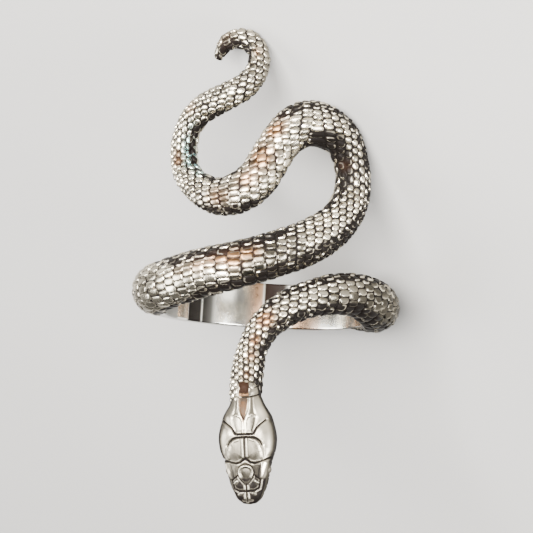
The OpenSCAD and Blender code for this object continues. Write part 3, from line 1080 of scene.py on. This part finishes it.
def head_fields(x, back, aside, outward, upper, dark, rim, shade):
    """Rubbing, tone and tarnish of the head, with painted light and shade in the rubbing and the
    tone. The rubbing is the exposure of the skin to rubbing and painted light, less what the zones
    take from it and none in the grooves, and tone is the sum of what they add: painted highlights
    on zones of the right side and on the rims, painted shade on the two edges and the top."""
    faces_out = outward[..., 2]
    masks = head_zones(x, back, aside, faces_out, shade)
    # Skin facing the rubbed, lit side is painted bright; skin turned away from it takes painted
    # shade.
    exposure_and_light = wear_and_light_exposure(outward)
    kept = 1 - dark
    # Rims carry a painted highlight in the tone, stronger on the flat top.
    tone = HEAD_TONE + (RIM_HIGHLIGHT_TONE + FLAT_RIM_HIGHLIGHT_TONE * masks["flat_shade"]) * rim
    for zone, (hides, takes, adds) in HEAD_EFFECTS.items():
        exposure_and_light = exposure_and_light * (1 - hides * masks[zone])
        kept = kept * (1 - takes * masks[zone])
        tone = tone + adds * masks[zone]
    worn_and_lit = HEAD_OXIDE_WEAR + (1 - HEAD_OXIDE_WEAR) * exposure_and_light + RIM_WEAR * rim * (1 - exposure_and_light)
    # The lip's edge is worn and painted as a bright highlight line; the underside is worn bright.
    lip_edge = bell(np.abs(aside) - LIP_EDGE[0], LIP_EDGE[1]) * smoothstep(*LIP_EDGE_BACK, back)
    bare = np.maximum(LIP_EDGE_WEAR_AND_HIGHLIGHT * lip_edge * upper, BELOW_WEAR * smoothstep(*BELOW, faces_out))
    return {
        "worn_and_lit": np.maximum(worn_and_lit * kept, bare * (1 - dark)),
        "tone": tone,
        "copper": np.maximum(masks["nuchal"], STRIPE_COPPER * masks["stripe"]) * upper,
        "blue": 0 * x,
    }


def head_surface():
    """Skin of the head. At distance h from the nape and angle a from the crown the section is the
    superellipse (half width |sin a|^(2/n), height |cos a|^(2/n)), moved out by the relief of
    the plates and in by the grooves."""
    back = np.linspace(HEAD_ROWS[0][BACK], HEAD_ROWS[-1][BACK], HEAD_RINGS)
    row = smooth_columns(HEAD_ROWS, BACK, back)
    angle = np.linspace(-math.pi, math.pi, HEAD_AROUND, endpoint=False)
    power = 2 / row[:, SQUARE, None]
    sine = np.sin(angle)[None]
    cosine = np.cos(angle)[None]
    x = np.sign(sine) * np.abs(sine) ** power * row[:, HALF, None]
    z = np.sign(cosine) * np.abs(cosine) ** power
    z = z * np.where(cosine > 0, row[:, CROWN, None], row[:, CHIN, None])
    back = back[:, None] + 0 * x
    y = -back * HEAD_STRETCH
    degrees = np.degrees(np.abs(angle))[None] + 0 * x
    relief, seam, rim, shade = head_relief(x, back, degrees)
    depth, dark = head_grooves(x, back, z, degrees)
    dark = np.clip(seam + dark, 0, 1)
    grow = 1 + (relief - depth) / np.maximum(np.hypot(x, z), HEAD_CORE)
    smooth_skin = np.stack((x, y, z), axis=-1)
    outward = unit(np.cross(np.gradient(smooth_skin, axis=0), np.gradient(smooth_skin, axis=1)))
    outward = outward @ head_turn().T
    aside = x / row[:, HALF, None]
    fields = head_fields(x, back, aside, outward, cosine > 0, dark, rim, shade)
    return np.stack((x * grow, y, z * grow), axis=-1), fields


def head_turn():
    """Matrix of the head's turns: yaw * roll."""
    return turn_about("Z", HEAD_YAW) @ turn_about("Y", HEAD_ROLL)


def place_head(points):
    """Head's own axes to the ring's: yaw * roll * point + nape."""
    return points @ head_turn().T + np.array((*NAPE, finger_radius() + HEAD_UP))


def sphere_grid(centre, radius, rings, around):
    """Points of a sphere, ring by ring between its poles: centre + radius times
    (sin p cos q, sin p sin q, cos p)."""
    polar = np.linspace(0, math.pi, rings + 2)[1:-1, None]
    turn = np.linspace(0, 2 * math.pi, around, endpoint=False)[None]
    direction = np.stack(
        (np.sin(polar) * np.cos(turn), np.sin(polar) * np.sin(turn), np.cos(polar) + 0 * turn),
        axis=-1,
    )
    return centre + radius * direction


def add_eye(name, side, material):
    """Smooth bead in its socket on one side of the head, closed at both poles."""
    out, back, up = EYE
    radius = EYE_DIAMETER / 2
    centre = np.array((side * out, -back * HEAD_STRETCH, up))
    poles = centre + np.array(((0, 0, radius), (0, 0, -radius)))
    grid = sphere_grid(centre, radius, EYE_RINGS, EYE_AROUND)
    fields = {field: np.zeros(grid.shape[:2]) for field in FIELDS}
    fields["worn_and_lit"] += EYE_WEAR
    add_tube(name, place_head(grid), *place_head(poles), fields, material)


def rounded_profile(width, thickness, fillet, steps):
    """Closed outline of a rectangle with quarter circles of the given radius at its corners."""
    outline = []
    corners = ((1, 1, 0), (-1, 1, 90), (-1, -1, 180), (1, -1, 270))
    for sx, sy, start in corners:
        angle = np.radians(np.linspace(start, start + 90, steps))
        x = sx * (width / 2 - fillet) + fillet * np.cos(angle)
        y = sy * (thickness / 2 - fillet) + fillet * np.sin(angle)
        outline.append(np.stack((x, y), axis=1))
    return np.concatenate(outline)


def band_surface(width, thickness):
    """Plain band: a rounded rectangle, u along the finger and v out from it, carried along an
    arc about the back of the finger as ((r + v) sin a, u, (r + v) cos a). Gives its points and
    the degrees of each ring from the back."""
    outline = rounded_profile(width, thickness, BAND_FILLET, BAND_CORNER_POINTS)
    degrees = np.linspace(-BAND_ARC / 2, BAND_ARC / 2, BAND_RINGS)
    angle = np.radians(180 + degrees)[:, None]
    radius = finger_radius() + thickness / 2 + outline[None, :, 1]
    along = outline[None, :, 0] + 0 * angle
    return np.stack((radius * np.sin(angle), along, radius * np.cos(angle)), axis=-1), degrees


def band_fields(points, degrees):
    """Rubbing, tone and tarnish of the band: its table of painted reflections and tarnish on the
    inside, and clean silver outside.
    """
    columns = np.array(BAND_TARNISH_AND_REFLECTION)
    worn_and_lit, copper = (
        np.interp(degrees, columns[:, BAND_DEGREES], columns[:, column])[:, None]
        for column in (BAND_PAINTED_REFLECTION, BAND_COPPER)
    )
    past_finger = np.hypot(points[..., 0], points[..., 2]) - finger_radius()
    inside = smoothstep(*BAND_INSIDE, past_finger)
    return {
        "worn_and_lit": BAND_WEAR + (worn_and_lit - BAND_WEAR) * inside,
        "tone": BAND_TONE * (1 - copper * inside),
        "copper": copper * inside,
        "blue": 0 * inside,
    }


def new_group(name, inputs, outputs):
    """Shader node group with named sockets, given as (name, kind, default) and (name, kind)."""
    group = bpy.data.node_groups.new(name, "ShaderNodeTree")
    for label, kind, default in inputs:
        socket = group.interface.new_socket(label, in_out="INPUT", socket_type=kind)
        socket.default_value = default
    for label, kind in outputs:
        group.interface.new_socket(label, in_out="OUTPUT", socket_type=kind)
    return group, group.nodes.new("NodeGroupInput"), group.nodes.new("NodeGroupOutput")


def add_node(tree, kind, inputs=(), **settings):
    """Node of a kind with its settings and inputs. An input is a value or a socket to link."""
    node = tree.nodes.new(kind)
    for key, value in settings.items():
        setattr(node, key, value)
    for key, value in dict(inputs).items():
        if isinstance(value, bpy.types.NodeSocket):
            tree.links.new(value, node.inputs[key])
        else:
            node.inputs[key].default_value = value
    return node


def math_node(tree, operation, first, second=0.0, third=0.0):
    """Result of a math node on values or sockets."""
    inputs = {0: first, 1: second, 2: third}
    return add_node(tree, "ShaderNodeMath", inputs, operation=operation).outputs[0]


def ramp(tree, value, limits, ends=(0, 1)):
    """Smooth step of a value between two limits, from the first end to the second."""
    keys = ("Value", "From Min", "From Max", "To Min", "To Max")
    inputs = dict(zip(keys, (value, *limits, *ends)))
    node = add_node(tree, "ShaderNodeMapRange", inputs, interpolation_type="SMOOTHSTEP")
    return node.outputs[0]


def mix_colour(tree, factor, first, second):
    """Mix of two colours. A mix node's colours are its sockets 6 and 7 and its output 2."""
    inputs = {0: factor, 6: first, 7: second}
    return add_node(tree, "ShaderNodeMix", inputs, data_type="RGBA").outputs[2]


def noise(tree, vector, scale, detail=3.0, rough=0.55):
    """Value from 0 to 1 of a noise over the vector."""
    inputs = {"Vector": vector, "Scale": scale, "Detail": detail, "Roughness": rough}
    return add_node(tree, "ShaderNodeTexNoise", inputs).outputs["Fac"]


def tarnish_and_light_masks(group, given, speckle, cloud):
    """Masks of rubbing with painted light and shade, and of the copper and blue tints on it, broken
    up by the two noises.
    """
    patches = math_node(group, "MULTIPLY_ADD", speckle, NOISE_SWING, -NOISE_SWING / 2)
    patches = math_node(group, "ADD", patches, cloud)
    worn_and_lit = math_node(group, "MULTIPLY_ADD", patches, given["Uneven"], given["Worn_and_lit"])
    wear_and_light_mask = ramp(group, worn_and_lit, WEAR_LIMITS)
    broken = ramp(group, speckle, BREAK_LIMITS, (-1, 0))
    broken = math_node(group, "MULTIPLY_ADD", broken, given["Uneven"], 1)
    on_crown = math_node(group, "MULTIPLY", ramp(group, wear_and_light_mask, TINT_LIMITS), broken)
    copper = math_node(group, "MULTIPLY", given["Copper"], on_crown)
    blue = math_node(group, "MULTIPLY", given["Blue"], on_crown)
    return wear_and_light_mask, copper, blue


def tarnish_and_light_group():
    """Colour, mask of rubbing and painted light, and roughness of oxidised silver. Noise breaks up
    the field of rubbing and painted light, the field of tone and painted light shades the silver,
    the copper and blue fields tint it where it is rubbed, and copper warms the oxide too."""
    if "Silver tarnish and painted light" in bpy.data.node_groups:
        return bpy.data.node_groups["Silver tarnish and painted light"]
    look = bpy.context.scene.snake_ring
    inputs = [
        ("Worn_and_lit", "NodeSocketFloat", 1.0),
        ("Tone", "NodeSocketFloat", 0.0),
        ("Copper", "NodeSocketFloat", 0.0),
        ("Blue", "NodeSocketFloat", 0.0),
        ("Silver", "NodeSocketColor", (*look.silver_colour, 1)),
        ("Oxide", "NodeSocketColor", (*look.oxide_colour, 1)),
        ("Polish", "NodeSocketFloat", 0.25),
        ("Uneven", "NodeSocketFloat", 1.0),
    ]
    outputs = [
        ("Color", "NodeSocketColor"),
        ("Wear and light mask", "NodeSocketFloat"),
        ("Roughness", "NodeSocketFloat"),
    ]
    group, given, result = new_group("Silver tarnish and painted light", inputs, outputs)
    given = given.outputs
    place = add_node(group, "ShaderNodeTexCoord").outputs["Object"]
    speckle = noise(group, place, SPECKLE_SCALE, 4)
    cloud = noise(group, place, CLOUD_SCALE, 3)
    cloud = math_node(group, "MULTIPLY_ADD", cloud, NOISE_SWING, -NOISE_SWING / 2)
    wear_and_light_mask, copper, blue = tarnish_and_light_masks(group, given, speckle, cloud)
    colour = mix_colour(group, copper, given["Silver"], (*look.copper_colour, 1))
    colour = mix_colour(group, blue, colour, (*look.blue_colour, 1))
    shade = math_node(group, "MULTIPLY_ADD", given["Tone"], TONE_SHADE, SHADE)
    shade = math_node(group, "MULTIPLY_ADD", cloud, given["Uneven"], shade)
    shade = math_node(group, "MULTIPLY_ADD", copper, COPPER_SHADE, shade)
    shade = math_node(group, "MAXIMUM", shade, LEAST_SHADE)
    shaded = {"Value": shade, "Color": colour}
    silver = add_node(group, "ShaderNodeHueSaturation", shaded).outputs["Color"]
    oxide = mix_colour(group, given["Copper"], given["Oxide"], DARK_COPPER)
    rough = math_node(group, "MULTIPLY_ADD", speckle, SPECKLE_ROUGH, given["Polish"])
    rough = math_node(group, "ADD", rough, ramp(group, wear_and_light_mask, (0, 1), (OXIDE_ROUGH, 0)))
    rough = math_node(group, "MULTIPLY_ADD", copper, COPPER_ROUGH, rough)
    group.links.new(mix_colour(group, wear_and_light_mask, oxide, silver), result.inputs["Color"])
    group.links.new(wear_and_light_mask, result.inputs["Wear and light mask"])
    group.links.new(rough, result.inputs["Roughness"])
    return group


def grain_group():
    """Height of the skin of a casting: fine pits and faint scratches along one direction."""
    if "Casting grain" in bpy.data.node_groups:
        return bpy.data.node_groups["Casting grain"]
    inputs = [("Pits", "NodeSocketFloat", 1.0), ("Scratches", "NodeSocketFloat", 0.0)]
    group, given, result = new_group("Casting grain", inputs, [("Height", "NodeSocketFloat")])
    place = add_node(group, "ShaderNodeTexCoord").outputs["Object"]
    stretch = {"Vector": place, "Scale": SCRATCH_SCALE}
    stretched = add_node(group, "ShaderNodeMapping", stretch).outputs["Vector"]
    pits = noise(group, place, PIT_SCALE, 4, NOISE_ROUGHNESS)
    lines = noise(group, stretched, 1, 3, NOISE_ROUGHNESS)
    lines = math_node(group, "MULTIPLY", lines, given.outputs["Scratches"])
    height = math_node(group, "MULTIPLY_ADD", pits, given.outputs["Pits"], lines)
    group.links.new(height, result.inputs["Height"])
    return group


def new_material(name):
    """Material with its node tree and its Principled shader."""
    material = bpy.data.materials.new(name)
    material.use_nodes = True
    return material, material.node_tree, material.node_tree.nodes["Principled BSDF"]


def silver_material(name, colour):
    """Cast silver: the group of tarnish and painted light feeds colour, metal and roughness, the
    grain group a bump.
    """
    if name in bpy.data.materials:
        return bpy.data.materials[name]
    finish = FINISHES[name]
    material, tree, shader = new_material(name)
    inputs = {
        field.capitalize(): add_node(tree, "ShaderNodeAttribute", attribute_name=field).outputs["Fac"]
        for field in FIELDS
    }
    inputs["Silver"] = (*(finish["value"] * channel for channel in colour), 1)
    inputs["Polish"] = finish["polish"]
    inputs["Uneven"] = finish["uneven"]
    tarnish = add_node(tree, "ShaderNodeGroup", inputs, node_tree=tarnish_and_light_group())
    inputs = {"Pits": finish["pits"], "Scratches": finish["scratches"]}
    grain = add_node(tree, "ShaderNodeGroup", inputs, node_tree=grain_group())
    inputs = {
        "Height": grain.outputs["Height"],
        "Strength": finish["bump"],
        "Distance": BUMP_DISTANCE,
    }
    bump = add_node(tree, "ShaderNodeBump", inputs)
    metal = ramp(tree, tarnish.outputs["Wear and light mask"], METAL_LIMITS, (OXIDE_METAL, 1))
    tree.links.new(tarnish.outputs["Color"], shader.inputs["Base Color"])
    tree.links.new(tarnish.outputs["Roughness"], shader.inputs["Roughness"])
    tree.links.new(metal, shader.inputs["Metallic"])
    tree.links.new(bump.outputs["Normal"], shader.inputs["Normal"])
    shader.inputs["Specular IOR Level"].default_value = OXIDE_SPECULAR
    shader.inputs["Specular Tint"].default_value = OXIDE_SPECULAR_TINT
    return material


class SnakeRingSettings(bpy.types.PropertyGroup):
    """Sizes and colours of the ring"""

    finger_diameter: bpy.props.FloatProperty(
        name="Finger diameter",
        description="Inner diameter of the band",
        default=2 * FINGER_BORE["r_mm"] * MM,
        unit="LENGTH",
    )
    band_width: bpy.props.FloatProperty(
        name="Band width", description="Width of the plain band", default=0.0042, unit="LENGTH"
    )
    band_thickness: bpy.props.FloatProperty(
        name="Band thickness", description="Wall of the plain band", default=0.0013, unit="LENGTH"
    )
    scale_depth: bpy.props.FloatProperty(
        name="Scale depth", description="Groove to crown", default=0.00019, unit="LENGTH"
    )
    dome: bpy.props.FloatProperty(
        name="Dome", description="Fall of a crown toward its edge", default=0.25, subtype="FACTOR"
    )
    lean: bpy.props.FloatProperty(
        name="Lean", description="Rise of a crown to its lower end", default=0.16, subtype="FACTOR"
    )
    tilt: bpy.props.FloatProperty(
        name="Tilt", description="Uneven tilt of each crown", default=0.3, subtype="FACTOR"
    )
    unevenness: bpy.props.FloatProperty(
        name="Unevenness", description="Stray of a scale", default=0.12, subtype="FACTOR"
    )
    silver_colour: bpy.props.FloatVectorProperty(
        name="Silver", description="Worn silver", default=(0.84, 0.762, 0.6), subtype="COLOR"
    )
    band_colour: bpy.props.FloatVectorProperty(
        name="Band silver", description="Polished band", default=(0.86, 0.85, 0.78), subtype="COLOR"
    )
    oxide_colour: bpy.props.FloatVectorProperty(
        name="Oxide", description="Dark oxide", default=(0.005, 0.004, 0.0035), subtype="COLOR"
    )
    copper_colour: bpy.props.FloatVectorProperty(
        name="Copper tarnish", description="Warm tarnish", default=(0.56, 0.31, 0.16), subtype="COLOR"
    )
    blue_colour: bpy.props.FloatVectorProperty(
        name="Blue tarnish", description="Cold tarnish", default=(0.25, 0.48, 0.5), subtype="COLOR"
    )


class SNAKERING_OT_body(bpy.types.Operator):
    """Add the scaled tail, in three parts, and the scaled neck, in two"""

    bl_idname = "snakering.body"
    bl_label = "Add scaled body"

    def execute(self, context):
        colour = context.scene.snake_ring.silver_colour
        material = silver_material("oxidised_scales", colour)
        tail_tables = (TAIL_SCALES, TAIL_WEAR_AND_LIGHT, TAIL_COPPER, TAIL_BLUE)
        neck_tables = (NECK_SCALES, NECK_WEAR_AND_LIGHT, NECK_COPPER, ())
        add_body("tail", TAIL_PATH, tail_tables, TAIL_PARTS, material)
        add_body("neck", NECK_PATH, neck_tables, NECK_PARTS, material)
        return {"FINISHED"}


class SNAKERING_OT_head(bpy.types.Operator):
    """Add the snake's head and its eyes"""

    bl_idname = "snakering.head"
    bl_label = "Add head"

    def execute(self, context):
        colour = context.scene.snake_ring.silver_colour
        material = silver_material("head_silver", colour)
        along, up = SNOUT_TIP
        nape = (0, -HEAD_ROWS[0][BACK] * HEAD_STRETCH, 0)
        tip = (0, -(HEAD_ROWS[-1][BACK] + along) * HEAD_STRETCH, up)
        points, fields = head_surface()
        add_tube("head", place_head(points), *place_head(np.array((nape, tip))), fields, material)
        add_eye("eye_left", -1, material)
        add_eye("eye_right", 1, material)
        return {"FINISHED"}


class SNAKERING_OT_band(bpy.types.Operator):
    """Add the plain polished band"""

    bl_idname = "snakering.band"
    bl_label = "Add band"

    def execute(self, context):
        look = context.scene.snake_ring
        material = silver_material("polished_band", look.band_colour)
        points, degrees = band_surface(look.band_width / MM, look.band_thickness / MM)
        fields = band_fields(points, degrees)
        add_tube("band", points, points[0].mean(axis=0), points[-1].mean(axis=0), fields, material)
        return {"FINISHED"}


def camera_axes():
    """Right, up and back directions of the camera in the ring's axes, as rows of a matrix."""
    tilt = turn_about("X", CAMERA_TILT)
    roll = turn_about("Z", -CAMERA_ROLL)
    return roll @ tilt


def camera_place(right, up, back):
    """Point at offsets in mm from the ring's origin along the camera's own directions, in the
    ring's axes."""
    return np.array((right, up, back)) @ camera_axes()


def add_camera():
    """Camera at the photograph's angle, so that the ring's origin falls on its pixel."""
    middle = PICTURE / 2
    across = (RING_ORIGIN_PIXEL[0] - middle) / PIXELS_PER_MM
    high = (middle - RING_ORIGIN_PIXEL[1]) / PIXELS_PER_MM
    place = to_rest(camera_place(-across, -high, CAMERA_DISTANCE))
    origin = to_rest(np.zeros(3))
    axes = [to_rest(axis) - origin for axis in camera_axes()]
    data = bpy.data.cameras.new("camera")
    data.sensor_width = SENSOR
    data.lens = CAMERA_DISTANCE * PIXELS_PER_MM / PICTURE * SENSOR
    data.clip_start, data.clip_end = CLIP
    camera = add_object("camera", data)
    matrix = Matrix([unit(axis) for axis in axes]).transposed().to_4x4()
    matrix.translation = Vector(place)
    camera.matrix_world = matrix
    bpy.context.scene.camera = camera


def add_lamp(name, offset, size, power, colour):
    """Soft lamp at an offset in mm along the camera's directions, aimed at the ring."""
    data = bpy.data.lights.new(name, "AREA")
    data.shape = "RECTANGLE"
    data.size, data.size_y = size
    data.energy = power
    data.color = colour
    lamp = add_object(name, data)
    place = Vector(to_rest(camera_place(*offset)))
    lamp.location = place
    lamp.rotation_mode = "QUATERNION"
    lamp.rotation_quaternion = (Vector(to_rest(np.zeros(3))) - place).to_track_quat("-Z", "Y")


def floor_material():
    """Pale matt paper with a faint cloud and a fine tooth."""
    material, tree, shader = new_material("pale_floor")
    place = add_node(tree, "ShaderNodeTexCoord").outputs["Object"]
    colour = mix_colour(tree, noise(tree, place, FLOOR_CLOUD, 2), *FLOOR_COLOURS)
    tooth = {
        "Height": noise(tree, place, FLOOR_TOOTH, 3),
        "Strength": TOOTH_STRENGTH,
        "Distance": TOOTH_DEPTH,
    }
    bump = add_node(tree, "ShaderNodeBump", tooth)
    tree.links.new(colour, shader.inputs["Base Color"])
    tree.links.new(bump.outputs["Normal"], shader.inputs["Normal"])
    shader.inputs["Roughness"].default_value = FLOOR_ROUGHNESS
    return material


def add_floor():
    """Square floor at height 0."""
    corners = [(x * FLOOR_HALF, y * FLOOR_HALF, 0) for x, y in ((-1, -1), (1, -1), (1, 1), (-1, 1))]
    mesh = bpy.data.meshes.new("floor")
    mesh.from_pydata(corners, (), ((0, 1, 2, 3),))
    mesh.materials.append(floor_material())
    add_object("floor", mesh)


class SNAKERING_OT_stage(bpy.types.Operator):
    """Add the camera, the floor and the lights"""

    bl_idname = "snakering.stage"
    bl_label = "Add stage"

    def execute(self, context):
        add_camera()
        add_floor()
        for lamp in LAMPS:
            add_lamp(*lamp)
        world = bpy.data.worlds.new("studio")
        world.use_nodes = True
        background = world.node_tree.nodes["Background"]
        background.inputs["Color"].default_value = STUDIO_COLOUR
        background.inputs["Strength"].default_value = STUDIO_STRENGTH
        context.scene.world = world
        return {"FINISHED"}


class SNAKERING_PT_panel(bpy.types.Panel):
    """Settings of the ring and a button for each piece"""

    bl_label = "Snake ring"
    bl_idname = "SNAKERING_PT_panel"
    bl_space_type = "VIEW_3D"
    bl_region_type = "UI"
    bl_category = "Snake ring"

    def draw(self, context):
        look = context.scene.snake_ring
        for name in look.bl_rna.properties.keys():
            if name not in ("name", "rna_type"):
                self.layout.prop(look, name)
        for operator in OPERATORS:
            self.layout.operator(operator.bl_idname)


OPERATORS = (SNAKERING_OT_body, SNAKERING_OT_head, SNAKERING_OT_band, SNAKERING_OT_stage)
CLASSES = (SnakeRingSettings, *OPERATORS, SNAKERING_PT_panel)


def register():
    for each in CLASSES:
        bpy.utils.register_class(each)
    bpy.types.Scene.snake_ring = bpy.props.PointerProperty(type=SnakeRingSettings)


def unregister():
    del bpy.types.Scene.snake_ring
    for each in reversed(CLASSES):
        bpy.utils.unregister_class(each)


def main():
    register()
    bpy.ops.snakering.body()
    bpy.ops.snakering.head()
    bpy.ops.snakering.band()
    bpy.ops.snakering.stage()


if __name__ == "__main__":
    main()
